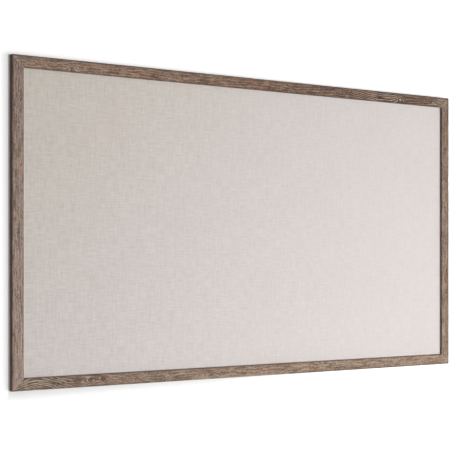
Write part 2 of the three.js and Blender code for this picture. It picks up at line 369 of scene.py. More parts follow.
def ring_phase(where, seed, bend, figure, knots):
    """Distance across the board over the ring width, plus hills, less an arch, plus a hill at each knot.

    Under a knot the distance across is taken away again, so that the rings part and flow round it on both
    sides. The arch is the board's figure: it lifts the rings towards the inner edge round one place along
    the board. The rings show clearly there and round the knots, and elsewhere they are faint.
    """
    along, inwards, deep = np.moveaxis(where, -1, 0)
    figure_along, arch = figure
    figure_share = np.exp(-(((along - figure_along) / FIGURE_LENGTH) ** 2))
    phase = (inwards + RING_SLANT * deep) / RING - arch * figure_share
    phase = phase + bend * hills(where, seed, SLOW_HILLS)
    phase = phase + SMALL_SHARE * bend * hills(where, seed + 1, SMALL_HILLS)
    clear = figure_share * min(1, arch / CLEAR_ARCH) + np.zeros_like(phase)
    dark = np.zeros_like(phase)
    for *place, darkness, rise in knots:
        knot_along, knot_inwards, radius = np.multiply(place, MM)
        past_knot = inwards - knot_inwards
        away = ((along - knot_along) / (KNOT_STRETCH * radius)) ** 2 + (past_knot / radius) ** 2
        phase = phase + np.sign(rise) * (rise - past_knot / RING) * np.exp(-away)
        clear = np.maximum(clear, min(1, rise / CLEAR_RISE) * np.exp(-away / CLEAR_SPREAD))
        dark = dark + darkness * np.exp(-(away / DARK_SPREAD) ** 2)
    return phase, dark, clear


print("one growth ring is", RING / MM, "mm")

# %% [markdown]
# ## The moulding's section
#
# The section is a flat face with an eased outer arris, a lip that reaches over the linen, the rabbet that
# holds the panel, and a plain back. It is drawn as a loop of straight runs and quarter arcs. The face gets a
# point every 0.6 mm, because the brushing has to be drawn there, and the hidden faces get few. Each point
# also says how much of the brushing reaches it: all on the face, less on the outer side, none behind.

# %% Draw the section
FACE = 34.5 * MM
LIP = 7.3 * MM
RABBET = 7 * MM
LAND = FACE - RABBET
ARRIS = 1.6 * MM
SIGHT_EDGE = 1.1 * MM
BACK_EDGE = 1 * MM


def run(start, end, spacing, brushed=0.0):
    """Evenly spaced points from start up to, but without, end, each with its share of the brushing."""
    count = max(1, math.ceil(math.dist(start, end) / spacing - 1e-9))
    share = np.arange(count)[:, None] / count
    points = np.asarray(start) * (1 - share) + np.asarray(end) * share
    return np.column_stack([points, np.full(count, brushed)])


def quarter(centre, radius, first, brushed=0.0, steps=5):
    """A quarter of a circle from the angle first, counted in quarters, without its last point."""
    angle = (first + np.arange(steps) / steps) * math.pi / 2
    points = np.asarray(centre) + radius * np.column_stack([np.cos(angle), np.sin(angle)])
    return np.column_stack([points, np.full(steps, brushed)])


section = np.concatenate(
    [
        quarter((ARRIS, ARRIS), ARRIS, first=2, brushed=1),
        run((ARRIS, 0), (FACE - SIGHT_EDGE, 0), spacing=0.6 * MM, brushed=1),
        quarter((FACE - SIGHT_EDGE, SIGHT_EDGE), SIGHT_EDGE, first=3, brushed=1),
        run((FACE, SIGHT_EDGE), (FACE, LIP), spacing=1.5 * MM, brushed=0.4),
        run((FACE, LIP), (LAND, LIP), spacing=4 * MM),
        run((LAND, LIP), (LAND, DEPTH), spacing=3 * MM),
        run((LAND, DEPTH), (BACK_EDGE, DEPTH), spacing=6 * MM),
        quarter((BACK_EDGE, DEPTH - BACK_EDGE), BACK_EDGE, first=1),
        run((0, DEPTH - BACK_EDGE), (0, ARRIS), spacing=0.9 * MM, brushed=0.6),
    ]
)
edge = np.roll(section[:, :2], -1, 0) - np.roll(section[:, :2], 1, 0)
edge /= np.linalg.norm(edge, axis=1, keepdims=True)
outwards = np.column_stack([edge[:, 1], -edge[:, 0]])
print("points in the section:", len(section))

# %% [markdown]
# ## The four boards
#
# A board is the section carried along its length. Each point of the section gets its own length, shorter the
# further in it lies, which cuts both ends at 45 degrees. Then the surface is pushed inwards, never outwards,
# so the board keeps its size: by the rings' hollows, by the brushed fibres, and by dents along the outer
# arris. The same carrying serves all four: a board is made lying at the bottom, and turned by quarters round
# the board's middle into its place.

# %% Carry the section along
STEP_ALONG = 2.6 * MM
MITRE_GAP = 0.2 * MM
RING_HOLLOW = 0.17 * MM
FIBRE_HOLLOW = 0.07 * MM
FIBRES = (9 * MM, 1.1 * MM, 1.4 * MM)
DENT_HOLLOW = 0.5 * MM
DENTS = (14 * MM, 1, 1)
DENT_PLACE = 0.5 * MM
DENT_SPREAD = 1.5 * MM


def board_piece(name, turn, length, reach, seed, bend, figure, knots):
    """Along a board a point runs from minus to plus (half the length - its distance inwards - the gap).

    The hollow is that of the rings plus that of the fibres plus that of the dents, times the brushing.
    """
    inwards, deep, brushed = section.T
    share = np.linspace(-1, 1, math.ceil(length / STEP_ALONG))[:, None]
    along = share * (length / 2 - inwards)
    where = np.stack(np.broadcast_arrays(along, inwards, deep), -1)
    phase, dark, clear = ring_phase(where, seed, bend, figure, knots)
    hollow = RING_HOLLOW * (0.5 - 0.5 * np.sin(TAU * phase))
    hollow = hollow + FIBRE_HOLLOW * (1 + hills(where, seed + 2, FIBRES))
    corner = np.exp(-(((inwards - DENT_PLACE) / DENT_SPREAD) ** 2) - ((deep - DENT_PLACE) / DENT_SPREAD) ** 2)
    hollow = hollow + DENT_HOLLOW * corner * np.clip(hills(where, seed + 3, DENTS) - 0.5, 0, None)
    hollow = np.clip(hollow, 0, None) * brushed
    u = inwards - hollow * outwards[:, 0]
    v = deep - hollow * outwards[:, 1]
    along = share * (length / 2 - u - MITRE_GAP / math.sqrt(2))
    up = u - reach
    cos, sin = math.cos(turn * math.pi / 2), math.sin(turn * math.pi / 2)
    x = middle_x + along * cos + up * sin
    z = middle_z - along * sin + up * cos
    points = np.stack(np.broadcast_arrays(x, front + v, z), -1)
    return loops(name, points, smooth_below=50, grain=where, phase=phase, knot=dark, clear=clear)


print("rows along a rail:", math.ceil(WIDTH / STEP_ALONG))

# %% [markdown]
# The knots and the dark and pale places give this frame its face, so they are listed one by one where the
# photograph shows them. Each has a place along and inwards and a radius, all in mm, a darkness, which is
# below 0 where the wood is pale, and a rise in rings, which is 0 where the rings run straight through. The
# bottom rail also has a row of pale places along its outer edge.

# %% Make the four boards
PALE_ROW = [(along, 4, 15, -0.8, 0) for along in range(-235, 120, 25)]
BOTTOM_KNOTS = [
    (-552, 20, 9.5, 1.3, 1.2),
    (-592, 17, 11, 0, 1.8),
    (-635, 20, 20, 0.75, 0),
    (-330, 12, 6, 0.3, 2),
    (262, 24, 6, 0.3, 2),
    (-812, 9, 14, 0.5, 0),
    (-150, 22, 10, 0.45, 0),
    *PALE_ROW,
]
TOP_KNOTS = [
    (653, 23, 9, 0.2, 2),
    (-390, 9, 5, 0.8, 1.5),
    (-608, 21, 11, 0.5, 2),
    (-690, 17, 26, 0.4, 0),
    (-765, 20, 10, 0.15, 1.1),
    (-806, 19, 32, -1, 0),
    (-37, 10, 13, -1, 0),
    (239, 22, 12, 0.45, 0),
    (484, 22, 15, -1, 0),
    (790, 9, 14, 0.5, 0),
    (-370, 27, 10, -0.8, 0),
]
RIGHT_KNOTS = [(162, 26, 15, -1, 0)]
RAIL = {"length": WIDTH, "reach": HEIGHT / 2}
STILE = {"length": HEIGHT, "reach": WIDTH / 2}
BOARDS = {
    "rail_bottom": {**RAIL, "turn": 0, "seed": 3, "bend": 0.8, "figure": (-0.758, 4), "knots": BOTTOM_KNOTS},
    "stile_right": {**STILE, "turn": -1, "seed": 11, "bend": 0.3, "figure": (0, 0), "knots": RIGHT_KNOTS},
    "rail_top": {**RAIL, "turn": -2, "seed": 27, "bend": 0.6, "figure": (-0.53, 2.4), "knots": TOP_KNOTS},
    "stile_left": {**STILE, "turn": 1, "seed": 35, "bend": 0.3, "figure": (0.3, 0.6), "knots": []},
}
boards = {name: board_piece(f"oak_{name}", **shape) for name, shape in BOARDS.items()}
for name, piece in boards.items():
    print(piece.name, len(piece.data.polygons), "faces")

# %% [markdown]
# ## The oak's colour
#
# The paint reads the same field. It is easiest to follow in four steps: the noises, the bare wood, what is
# in its hollows, and its edges. First the noises: each is stretched along the board, as everything in wood
# is, and has one job, such as the streaks of the grain, the fine fibres or the slow patches.

# %% Gather the oak's noises
# Each has so many hills in a metre along and across the board, a step of the seed, a detail and a roughness.
OAK_NOISES = {
    "ripple": (60, 260, 0, 3, 0.5),
    "streaks": (28, 220, 1, 5, 0.6),
    "fibres": (70, 1100, 2, 2, 0.5),
    "mottle": (130, 240, 3, 3, 0.6),
    "patches": (15, 60, 4, 3, 0.5),
    "flecks": (48, 420, 5, 1, 0.5),
    "stain": (10, 34, 6, 2, 0.5),
    "straw": (13, 40, 7, 2, 0.5),
    "dots": (110, 1700, 8, 1, 0.5),
}


class OakPaint(Paint):
    """A paint that knows its place on the board, the field of the growth rings and the oak's noises."""

    def __init__(self, name, seed):
        super().__init__(name, IOR=1.45)
        grain = self.attribute("grain", "Vector")
        self.along, self.inwards, self.deep = self.split(grain)
        for noise, (along, across, step, detail, roughness) in OAK_NOISES.items():
            scale = (along, across, across)
            setattr(self, noise, self.noise(grain, scale, seed + step, detail, roughness))
        self.rings = ((self.attribute("phase") + self.ripple * 0.4) * TAU).sine() * 0.5 + 0.5
        self.clear, self.knot = self.attribute("clear"), self.attribute("knot")
        self.pale = self.knot.between(0, -1)
        self.pores = self.dots.between(0.58, 0.68)


print("noises in the oak:", *OAK_NOISES)

# %% [markdown]
# The bare wood is a ramp of four browns, and the sum of the noises less the rings says which one it is. Slow
# patches are redder or more like straw, as the wood took the stain unevenly. Each board also turns slowly
# from one tint to another along its length, and may be lighter at one end or towards its inner edge. No two
# lengths of timber are alike, but a part of this is painted light and shade, the board's shading as it was
# lit.

# %% Colour the bare wood
OAK_DARKEST = (0.030, 0.018, 0.012)
OAK_DEEP = (0.070, 0.043, 0.030)
OAK_BROWN = (0.205, 0.144, 0.108)
OAK_PALE = (0.420, 0.338, 0.272)
OAK_RAMP = [(0.14, OAK_DARKEST), (0.393, OAK_DEEP), (0.617, OAK_BROWN), (0.934, OAK_PALE)]
RED_TINT = (1.04, 0.92, 0.87)
STRAW_TINT = (1.0, 1.02, 0.92)
SUM_LEVEL = 2.15
SUM_CONTRAST = 0.66
RAMP_LEVEL = 0.34


def bare_wood(oak, length, paleness, slope, lean, low_tint, high_tint):
    """Paleness lifts the whole board, slope one end over the other and lean the inner edge over the outer.

    The two tints are for the ends where `along` is low and high. The light is the sum, less its level, times
    the contrast, plus a level on the ramp.
    """
    light = oak.streaks * 1.9 + oak.mottle * 1.6 + oak.patches * 0.75 + oak.fibres
    light = light - oak.rings * (oak.clear * 0.20 + 0.07) + oak.pale * 0.1
    # Partly painted light and shade: the board's paleness, its slope along its length and its lean inwards.
    light = light + oak.along * slope + oak.inwards * lean + (paleness - SUM_LEVEL)
    colour = oak.ramp(light * SUM_CONTRAST + RAMP_LEVEL, OAK_RAMP)
    colour = oak.tinted(colour, RED_TINT, oak.stain.between(0.47, 0.60))
    colour = oak.tinted(colour, STRAW_TINT, oak.straw.between(0.50, 0.62))
    # Partly painted light and shade: each board's tint turns from one end to the other.
    end_to_end = oak.along.between(-length / 2, length / 2)
    return oak.tinted(colour, oak.blend(end_to_end, low_tint, high_tint))


print("browns on the ramp:", len(OAK_RAMP))

# %% [markdown]
# Ridges of hard late wood stay brown, and the hollows between them hold grey-white filler, most where the
# rings are clear. A little of it stays on the pale places too. Short dark flecks, fine pores and the knots
# come last, because they are what shows through everything.

# %% Fill the hollows
FILLER = (0.600, 0.495, 0.390)


def filled_wood(oak, colour):
    """Filler where the rings are low, in patches, and then dark flecks, pores and knots over it."""
    colour = oak.blend(oak.pale * 0.17, colour, FILLER)
    in_patches = oak.patches.between(0.34, 0.50) * (oak.clear * 0.80 + 0.20)
    colour = oak.blend(oak.rings.between(0.34, 0.05) * in_patches, colour, FILLER)
    colour = oak.blend(oak.flecks.between(0.58, 0.70) * 0.6, colour, OAK_DEEP)
    colour = oak.blend(oak.pores * 0.55, colour, OAK_DEEP)
    return oak.blend(oak.knot.between(0.15, 0.9) * 0.8, colour, OAK_DEEP)


print("filler", FILLER)

# %% [markdown]
# The arrises are darker, though hardly on the pale places: partly stain that caught the edge, and partly
# painted shade along the outer arris and along the sight edge beside the lip. The sides are painted darker
# still, as painted shade, and get lighter again just before the back, and a thin pale line in the filler's
# colour marks each mitre.
# The four steps then make a paint for each board, and the paints differ as the boards in the photograph do.

# %% Stain the edges and paint their shade
PAINTED_FLANK_SHADE = (0.222, 0.192, 0.182)
NARROW_BAND = (5 * MM, 2 * MM)
WIDE_BAND = (16 * MM, 2 * MM)
SIGHT_BAND = (FACE - 5 * MM, FACE - 1 * MM)
FLANK = (0.8 * MM, 2.4 * MM)
BEHIND = (DEPTH - 3.5 * MM, DEPTH - 0.5 * MM)
MITRE_LINE = (2.2 * MM, 0.6 * MM)


def stained_and_shaded_edges(oak, colour, length, outer, inner):
    """Outer and inner say how dark the two arrises are. Along + inwards is half the length on the mitre."""
    # Partly stain and partly painted shade: dark bands along the outer arris and along the sight edge.
    arris = (oak.inwards.between(*NARROW_BAND) * 0.55 + oak.inwards.between(*WIDE_BAND) * 0.28) * outer
    arris = arris + oak.inwards.between(*SIGHT_BAND) * (0.8 * inner)
    flank = oak.deep.between(*FLANK)
    arris = arris * (oak.mottle * 0.5 + 0.65) * (1 - oak.pale * 0.7) * (1 - flank)
    colour = oak.blend(arris, colour, OAK_DEEP)
    # Painted shade: the sides of the moulding are darkened, less so just before the back.
    colour = oak.tinted(colour, PAINTED_FLANK_SHADE, flank - oak.deep.between(*BEHIND) * 0.75)
    to_mitre = length / 2 - (oak.along.size() + oak.inwards)
    mitre = to_mitre.between(*MITRE_LINE) * oak.inwards.between(2 * MM, 8 * MM)
    mitre = mitre * oak.mottle.between(0.38, 0.52) * (1 - flank)
    return oak.blend(mitre * 0.6, colour, FILLER)


print("the sides are tinted by", PAINTED_FLANK_SHADE)

# %% Mix a paint for each board
# Part of each board's paleness, slope, lean and tints is painted light and shade.
OAK_TONES_AND_SHADING = {
    "rail_bottom": {"paleness": 0.02, "slope": 0.06, "lean": 0},
    "stile_right": {"paleness": -0.06, "slope": -0.15, "lean": 0},
    "rail_top": {"paleness": -0.145, "slope": 0.31, "lean": 0},
    "stile_left": {"paleness": 0.105, "slope": 0.22, "lean": 3},
}
OAK_TINTS_AND_SHADING = {
    "rail_bottom": ((1.0, 0.94, 0.87), (1.0, 0.94, 0.85)),
    "stile_right": ((1.0, 0.94, 0.865), (1.0, 0.94, 0.865)),
    "rail_top": ((1.02, 0.79, 0.62), (1.02, 0.92, 0.86)),
    "stile_left": ((1.0, 0.955, 1.035), (1.0, 0.955, 1.035)),
}
OAK_EDGE_STAIN_AND_SHADE = {
    "rail_bottom": (0.75, 1),
    "stile_right": (1, 0.2),
    "rail_top": (1, 0.7),
    "stile_left": (0.2, 0.5),
}

for name, board in BOARDS.items():
    oak = OakPaint(f"oak_{name}", board["seed"])
    low_tint, high_tint = OAK_TINTS_AND_SHADING[name]
    colour = bare_wood(oak, board["length"], low_tint=low_tint, high_tint=high_tint, **OAK_TONES_AND_SHADING[name])
    colour = filled_wood(oak, colour)
    oak.set("Base Color", stained_and_shaded_edges(oak, colour, board["length"], *OAK_EDGE_STAIN_AND_SHADE[name]))
    oak.set("Roughness", 0.74 - oak.rings * 0.08 + oak.fibres * 0.12)
    relief = oak.fibres * 0.5 + oak.streaks * 0.3 + oak.rings * 0.2 - oak.pores * 0.4
    oak.emboss(relief, 0.22 * MM, 0.8)
    install(boards[name], "weathered_oak", oak, f"frame_{name}")
print("oak mixed for", len(BOARDS), "boards")

# %% [markdown]
# ## The linen
#
# One sheet of linen is stretched over the cork, turned round the panel's edges and glued behind as a hem,
# with its corners cut away and folded to a mitre. It could be simulated, but a stretched sheet has no folds
# to find, so its shape is a formula. Every point of the cloth has a place on the flat cut, and an overhang:
# how far it lies past the panel's edge, in the direction where it lies furthest. The overhang alone says how
# far round the edge the point goes.

# %% Say how the cloth turns round the edge
LINEN = 0.5 * MM
HEM = 32 * MM
TURN_RADIUS = 1.2 * MM
CLOTH_STEP = 7 * MM
TURN_LINES = 6
low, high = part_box("linen_cover")
half_w, half_h = (high.x - low.x) / 2, (high.z - low.z) / 2
panel_depth = high.y - low.y
quarter_turn = TURN_RADIUS * math.pi / 2
straight = panel_depth - 2 * TURN_RADIUS
OVERHANG = 2 * quarter_turn + straight + HEM - TURN_RADIUS


def wrap(overhang, skin):
    """Inset from the panel's edge and depth behind its front, as a curve over the overhang.

    The curve is a quarter turn, a straight run down the edge, another quarter turn, and then inwards along
    the back. The inner skin's turns are tighter.
    """
    turn = np.linspace(0, math.pi / 2, TURN_LINES + 1)
    tight = TURN_RADIUS - skin
    inset = [*(TURN_RADIUS - tight * np.sin(turn)), *(TURN_RADIUS - tight * np.cos(turn)), HEM]
    depth = [*(TURN_RADIUS - tight * np.cos(turn)), *(panel_depth - TURN_RADIUS + tight * np.sin(turn))]
    depth.append(depth[-1])
    first = turn * TURN_RADIUS
    second = quarter_turn + straight + turn * TURN_RADIUS
    past = [*first, *second, OVERHANG]
    return np.interp(overhang, past, inset), np.interp(overhang, past, depth)


def cloth_lines(half):
    """Places across the flat cut: coarse over the face, and fine where the cloth turns round the edge."""
    flat = half - TURN_RADIUS
    face = np.linspace(-flat, flat, math.ceil(2 * flat / CLOTH_STEP) + 1)
    round_edge = np.linspace(0, quarter_turn, TURN_LINES)
    past = np.concatenate([round_edge[1:], quarter_turn + straight + round_edge])
    past = np.concatenate([past, np.linspace(past[-1], OVERHANG, TURN_LINES)[1:]]) + flat
    return np.concatenate([-past[::-1], face, past])


across, upwards = cloth_lines(half_w), cloth_lines(half_h)
print(f"cut {across[-1] - across[0]:.3f} x {upwards[-1] - upwards[0]:.3f} m, overhang {OVERHANG:.4f} m")

# %% [markdown]
# Both skins of the cloth are made, half a millimetre apart, so it is a real sheet. Over the face they are a
# little loose. The paint will need to know where on the cloth it is, so each point also keeps its place on
# the flat cut. Behind the panel it keeps its place on the board instead, so that the yarns of the hem look
# straight there, and changes over on the hidden edge. The third number says which of the two it is.

# %% Fold the two skins
LOOSE_HEIGHT = 0.12 * MM
LOOSE_FADE = 30 * MM
LOOSE_HILLS = (45 * MM, 30 * MM, 1)

u, v = np.meshgrid(across, upwards)
past = np.maximum(np.maximum(np.abs(u) - half_w, np.abs(v) - half_h) + TURN_RADIUS, 0)
on_back = past > quarter_turn + straight / 2
inside = np.clip((half_w - np.abs(u)) / LOOSE_FADE, 0, 1) * np.clip((half_h - np.abs(v)) / LOOSE_FADE, 0, 1)
loose = inside * LOOSE_HEIGHT * hills(np.stack([u, v, 0 * u], -1), 5, LOOSE_HILLS, waves=14)
skins, cloth = [], []
for skin in (0, LINEN):
    inset, depth = wrap(past, skin)
    x = np.clip(u, inset - half_w, half_w - inset)
    z = np.clip(v, inset - half_h, half_h - inset)
    skins.append(np.stack([middle_x + x, low.y + depth + loose, middle_z + z], -1))
    cloth.append(np.stack([np.where(on_back, x, u), np.where(on_back, z, v), 1.0 * on_back], -1))
print("points in a skin:", u.size, "of them behind the panel:", int(on_back.sum()))

# %% Sew the two skins together
rows, columns = u.shape
flat_faces = quads(rows, columns, close_columns=False)
rim = border(np.arange(rows * columns).reshape(rows, columns))
beyond = rows * columns
rim_faces = np.stack([rim, np.roll(rim, -1), np.roll(rim, -1) + beyond, rim + beyond], -1)
faces = np.concatenate([flat_faces, flat_faces + beyond, rim_faces]).tolist()
linen = body("linen", np.stack(skins), faces, smooth_below=50, cloth=np.stack(cloth))
# Where the corners are cut away faces have shrunk to lines, and these go.
join_close(linen.data, bmesh.ops.dissolve_degenerate, "edges")
print("linen:", len(linen.data.polygons), "faces")

# %% [markdown]
# ## The linen's colour
#
# Natural linen yarn is uneven. Thick stretches, called slubs, show as short faint streaks along both sets of
# yarn, and the bleach leaves slow tints of pink and straw. The rest is painted light: the slubs are painted
# fainter towards the right, where the light falls more straight on the cloth, and the cloth is painted warmer
# at the upper left and cooler at the lower right, as the light's colour is there. Just inside the lip, at the
# bottom and on the left, painted light makes the cloth lighter, to cancel the shade that the lip casts there,
# which the real board hardly shows. The hem behind is left out of that.

# %% Mix the linen's colour
LINEN_RAMP = [(0.34, (0.555, 0.514, 0.481)), (0.50, (0.685, 0.635, 0.597)), (0.66, (0.795, 0.749, 0.714))]
PINK_TINT = (1.0, 0.955, 0.955)
BLEACH_TINT = (0.985, 0.985, 0.94)
PAINTED_WARM_LIGHT = (0.975, 0.964, 0.925)
PAINTED_COOL_LIGHT = (0.970, 0.969, 1.004)
TWICE = (2, 2, 2)

linen_paint = Paint("natural_linen", Roughness=0.92, Sheen_Weight=0.12, Sheen_Roughness=0.6)
cut = linen_paint.attribute("cloth", "Vector")
weft_x, warp_y, hemmed = linen_paint.split(cut)
weft_slubs = linen_paint.noise(cut, (30, 270, 1), 1, 2, 0.4)
warp_slubs = linen_paint.noise(cut, (220, 32, 1), 2, 2, 0.4)
long_weft = linen_paint.noise(cut, (7, 150, 1), 3, 2)
long_warp = linen_paint.noise(cut, (150, 7, 1), 4, 2)
pink = linen_paint.noise(cut, (5, 6, 1), 5, 2)
straw = linen_paint.noise(cut, (9, 9, 1), 6, 2)

slubs = weft_slubs * 0.26 + warp_slubs * 0.22 + long_weft * 0.07 + long_warp * 0.10 - 0.325
# Painted light: the slubs fade towards the right, where the light falls more straight on the cloth.
light = slubs * (1.15 - weft_x.between(-half_w, half_w) * 0.6) + 0.5
colour = linen_paint.ramp(light, LINEN_RAMP)
colour = linen_paint.tinted(colour, PINK_TINT, pink.between(0.45, 0.65) * 0.24)
colour = linen_paint.tinted(colour, BLEACH_TINT, straw.between(0.50, 0.66) * 0.24)
# Painted light: a warm tint at the upper left turns cool at the lower right, the colour of the light there.
to_lower_right = (weft_x - warp_y * 1.2).between(-1.3, 0.1)
colour = linen_paint.tinted(colour, linen_paint.blend(to_lower_right, PAINTED_WARM_LIGHT, PAINTED_COOL_LIGHT))

# Painted light: the cloth is lighter just inside the lip at the bottom and on the left, to cancel its shade.
over_lip = warp_y + (half_h - FACE + (low.z - bottom))
past_lip = weft_x + (half_w - FACE + (low.x - left))
painted_light_by_lip = over_lip.between(14 * MM, 0) * 0.10 + over_lip.between(7 * MM, 0) * 0.18
painted_light_by_lip = painted_light_by_lip.at_least(past_lip.between(10 * MM, 0) * 0.14) * (1 - hemmed)
linen_colour = linen_paint.tinted(colour, TWICE, painted_light_by_lip)
print("the linen's middle colour is", LINEN_RAMP[1][1])

# %% [markdown]
# ## The weave
#
# The single yarns are finer than a pixel from across a room, but from close by they should be there. In a
# plain weave each yarn is a ridge that rises over one crossing yarn and dips under the next. So both sets are
# drawn as ridges that swing by the same crossing term, one up where the other is down, and the higher of the
# two is what shows. The gaps between them are darker, as painted shade between the yarns.

# %% Draw the weave
YARN = 1.1 * MM
YARN_DRIFT = 0.9 * MM
PAINTED_YARN_GAP_SHADE = (0.80, 0.79, 0.77)
RIDGE = 0.55
SWING = 0.45

drift = linen_paint.noise(cut, (70, 70, 1), 8, 1) * YARN_DRIFT
warp_ridge = ((weft_x + drift) * (math.pi / YARN)).sine()
weft_ridge = ((warp_y + drift) * (math.pi / YARN)).sine()
crossing = warp_ridge * weft_ridge * SWING
weave = (warp_ridge.size() * RIDGE + crossing).at_least(weft_ridge.size() * RIDGE - crossing)
# Painted shade: the gaps between the yarns are darkened.
in_gap = weave.between(0.45, 0.15) * 0.8
linen_paint.set("Base Color", linen_paint.tinted(linen_colour, PAINTED_YARN_GAP_SHADE, in_gap))
linen_paint.emboss(weave * 0.5 + weft_slubs * 0.25 + warp_slubs * 0.25, 0.3 * MM, 0.7)
install(linen, "natural_linen", linen_paint, "linen_cover")
print("yarns in a metre:", round(1 / YARN))

# %% [markdown]
# A sheet also says how large it was cut. At each corner of the flat cut a square is cut away, and the two
# hems that then meet behind are trimmed to a mitre.

flat_size = (across[-1] - across[0], upwards[-1] - upwards[0])
flat_area = flat_size[0] * flat_size[1] - 4 * (OVERHANG**2 + (HEM - TURN_RADIUS) ** 2)
print(f"linen area {flat_area:.3f} m2")

# %% [markdown]
# ## Cork and hardboard
#
# The cork hides under the linen and the hardboard shows only from behind, between the hems. Both are flat
# sheets, so the modelled nodes stay as they are and only get their finish. Pressed cork is a crowd of grains,
# each a little different, which is what a Voronoi texture draws. Hardboard has a fine screen pressed into its
# back.

# %% Dress the sheets
CORK_RAMP = [(0, (0.30, 0.16, 0.075)), (0.5, (0.47, 0.28, 0.14)), (1, (0.60, 0.39, 0.21))]
CORK_SPECK = (0.10, 0.05, 0.03)
HARDBOARD_RAMP = [(0.34, (0.135, 0.075, 0.042)), (0.64, (0.225, 0.135, 0.080))]
SCREEN_LINE = (0.07, 0.04, 0.025)
SCREEN = 1.4 * MM


def dress(node, paint):
    node.data.materials.clear()
    node.data.materials.append(paint.material)


cork = Paint("cork", Roughness=0.9)
place = cork.here()
grains = cork.add("ShaderNodeTexVoronoi", None, {"Vector": place, "Scale": 420}, output="Color")
shade, _, _ = cork.split(grains)
specks = cork.noise(place, (900, 900, 900), 2, 2)
colour = cork.blend(specks.between(0.62, 0.72) * 0.7, cork.ramp(shade, CORK_RAMP), CORK_SPECK)
cork.set("Base Color", colour)
cork.emboss(shade, 0.3 * MM, 0.6)
dress(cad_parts["cork_sheet"], cork)

hardboard = Paint("hardboard", Roughness=0.78)
place = hardboard.here()
x, _, z = hardboard.split(place)
screen = (x * (TAU / SCREEN)).sine() * (z * (TAU / SCREEN)).sine()
clouds = hardboard.noise(place, (9, 9, 9), 3, 4, 0.6)
chips = hardboard.noise(place, (260, 260, 420), 4, 3, 0.6)
colour = hardboard.ramp(clouds * 0.25 + chips * 0.75, HARDBOARD_RAMP)
hardboard.set("Base Color", hardboard.blend(screen.between(0.2, 0.9) * 0.25, colour, SCREEN_LINE))
hardboard.emboss(screen * 0.5 + chips * 0.4, 0.18 * MM, 0.7)
dress(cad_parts["backer_board"], hardboard)
print("cork and hardboard dressed")


# %% [markdown]
# ## Zinc and rubber
#
# The small hardware is zinc-plated steel: bright, slightly blue, with a cloudy bloom where the plating is
# thicker and fine scratches from the tumbling barrel. The bumpers are black rubber, dusty on their faces.

# %% Mix the zinc and the rubber
def zinc_paint(name, colour, bloom):
    """Clouds dull the colour by as much as the bloom says, and clouds and scratches roughen it."""
    paint = Paint(name, Metallic=1.0)
    place = paint.here()
    clouds = paint.noise(place, (220, 220, 220), 1, 3, 0.6)
    scratches = paint.noise(place, (2600, 900, 400), 2, 2)
    dull = tuple(0.72 * channel for channel in colour)
    paint.set("Base Color", paint.blend(clouds.between(0.42, 0.66) * bloom, colour, dull))
    paint.set("Roughness", 0.28 + clouds * 0.22 + scratches * 0.08)
    paint.emboss(scratches, 0.02 * MM, 0.5)
    return paint


zinc = zinc_paint("zinc_plate", (0.66, 0.67, 0.69), 0.6)
steel = zinc_paint("bright_steel", (0.58, 0.575, 0.56), 0.9)

RUBBER_RAMP = [(0.35, (0.014, 0.014, 0.015)), (0.72, (0.055, 0.053, 0.050))]
rubber = Paint("black_rubber", Roughness=0.8)
dust = rubber.noise(rubber.here(), (420, 420, 420), 1, 4, 0.65)
rubber.set("Base Color", rubber.ramp(dust, RUBBER_RAMP))
rubber.emboss(dust, 0.06 * MM, 0.6)
print("zinc, steel and rubber mixed")


# %% [markdown]
# ## Strips and wire
#
# The straps, points and V-nails are all sheet steel that follows a line, and the rings are round wire that
# follows one. So one function carries a loop along a line. At each point of the line it needs two directions:
# `side`, which is the same everywhere, and the normal, which is square to the side and to the line.

# %% Carry a loop along a line
def carry(line, side, loop_side, loop_normal, ring=False):
    """Point = line's point + side x loop_side + normal x loop_normal, and normal = its direction x side."""
    if ring:
        ahead = np.roll(line, -1, 0) - np.roll(line, 1, 0)
    else:
        ahead = np.gradient(line, axis=0)
    ahead = ahead / np.linalg.norm(ahead, axis=1, keepdims=True)
    normal = np.cross(ahead, side)
    return line[:, None] + loop_side[..., None] * np.asarray(side) + loop_normal[..., None] * normal[:, None]


def strip_loop(half_width, thickness, soften):
    """A rectangle with softened corners, one for each half width, that crosses a strip of steel.

    A point is a corner of the rectangle that is smaller by the softening, plus a circle of that radius.
    """
    half_width = half_width[:, None]
    corner = np.linspace(0, math.pi / 2, 4)
    angles = np.concatenate([corner + k * math.pi / 2 for k in range(4)])
    signs = np.repeat([[1, 1], [-1, 1], [-1, -1], [1, -1]], len(corner), axis=0).T
    side = signs[0] * (half_width - soften) + soften * np.cos(angles)
    normal = signs[1] * (thickness / 2 - soften) + soften * np.sin(angles)
    return side, np.broadcast_to(normal, side.shape)


def round_end(length, half_width, corner, count=9):
    """Places along a strip, close together where its end curves, and the half widths there.

    The half width is the full one less the corner, plus the height of a circle of the corner's radius.
    """
    curve = corner * (1 - np.cos(np.linspace(0, math.pi / 2, count)))
    places = np.concatenate([curve, [length]])
    widths = half_width - corner + np.sqrt(np.clip(corner**2 - (corner - places) ** 2, 0, None))
    widths[-1] = half_width
    return places, widths


print("points across a strip:", strip_loop(np.ones(1), 1, 0.1)[0].size)

# %% [markdown]
# ## Framer's points
#
# Sixteen flat steel points hold the panel in the rabbet. Half of each is driven into the wood, and the half
# that shows lies over the hem and ends round. A strip needs only its half width to say this: constant, and
# then falling to nothing as a circle does.

# %% Make the points
POINT_TIP = 3 * MM
SOFT_EDGE = 0.12 * MM
NARROWEST = 1.01 * SOFT_EDGE


